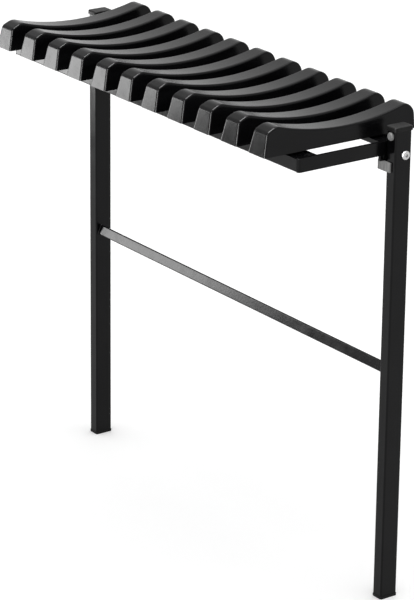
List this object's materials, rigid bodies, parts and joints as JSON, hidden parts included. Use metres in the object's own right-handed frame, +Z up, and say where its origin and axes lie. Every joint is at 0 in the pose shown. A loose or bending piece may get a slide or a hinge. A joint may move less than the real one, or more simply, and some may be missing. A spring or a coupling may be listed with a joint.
{
  "type": "folding bench",
  "caption": "High fold-up bench: a row of concave moulded slats on a steel frame that pivots between posts tied by a crossbar.",
  "frame": {"origin": "on the floor, under the middle of the seat", "axes": "+X along the bench to the right, -Y towards the front of the seat, +Z up"},
  "size_m": [0.8088, 0.274, 0.7651],
  "materials": {
    "black_steel": "gloss black paint",
    "slat_plastic": "satin black moulding",
    "cap_plastic": "black moulding",
    "bush_plastic": "natural dark nylon",
    "zinc_steel": "zinc plate, bright on the bolts, nuts and screws and dull on the sleeve nuts and stop plates"
  },
  "bodies": {
    "stand": {"left_post": "black_steel", "right_post": "black_steel", "left_post_cap": "cap_plastic", "right_post_cap": "cap_plastic", "left_foot": "cap_plastic", "right_foot": "cap_plastic", "left_stop_plate": "zinc_steel", "right_stop_plate": "zinc_steel", "left_wall_sleeve": "zinc_steel", "right_wall_sleeve": "zinc_steel", "left_pivot_bolt": "zinc_steel", "right_pivot_bolt": "zinc_steel", "left_pivot_washer": "zinc_steel", "right_pivot_washer": "zinc_steel", "left_pivot_nut": "zinc_steel", "right_pivot_nut": "zinc_steel", "crossbar": "black_steel"},
    "seat": {"left_arm": "black_steel", "right_arm": "black_steel", "left_pivot_bush": "bush_plastic", "right_pivot_bush": "bush_plastic", "left_heel_pin": "black_steel", "right_heel_pin": "black_steel", "front_tube": "black_steel", "rear_tube": "black_steel", "front_slat_screws": "zinc_steel", "rear_slat_screws": "zinc_steel", "slat_01": "slat_plastic", "slat_02": "slat_plastic", "slat_03": "slat_plastic", "slat_04": "slat_plastic", "slat_05": "slat_plastic", "slat_06": "slat_plastic", "slat_07": "slat_plastic", "slat_08": "slat_plastic", "slat_09": "slat_plastic", "slat_10": "slat_plastic", "slat_11": "slat_plastic"}
  },
  "joints": [
    {"name": "seat_fold", "type": "hinge", "parent": "stand", "child": "seat", "pos_m": [0, 0.084, 0.7025], "axis": [-1, 0, 0], "range_deg": [0, 90]}
  ]
}
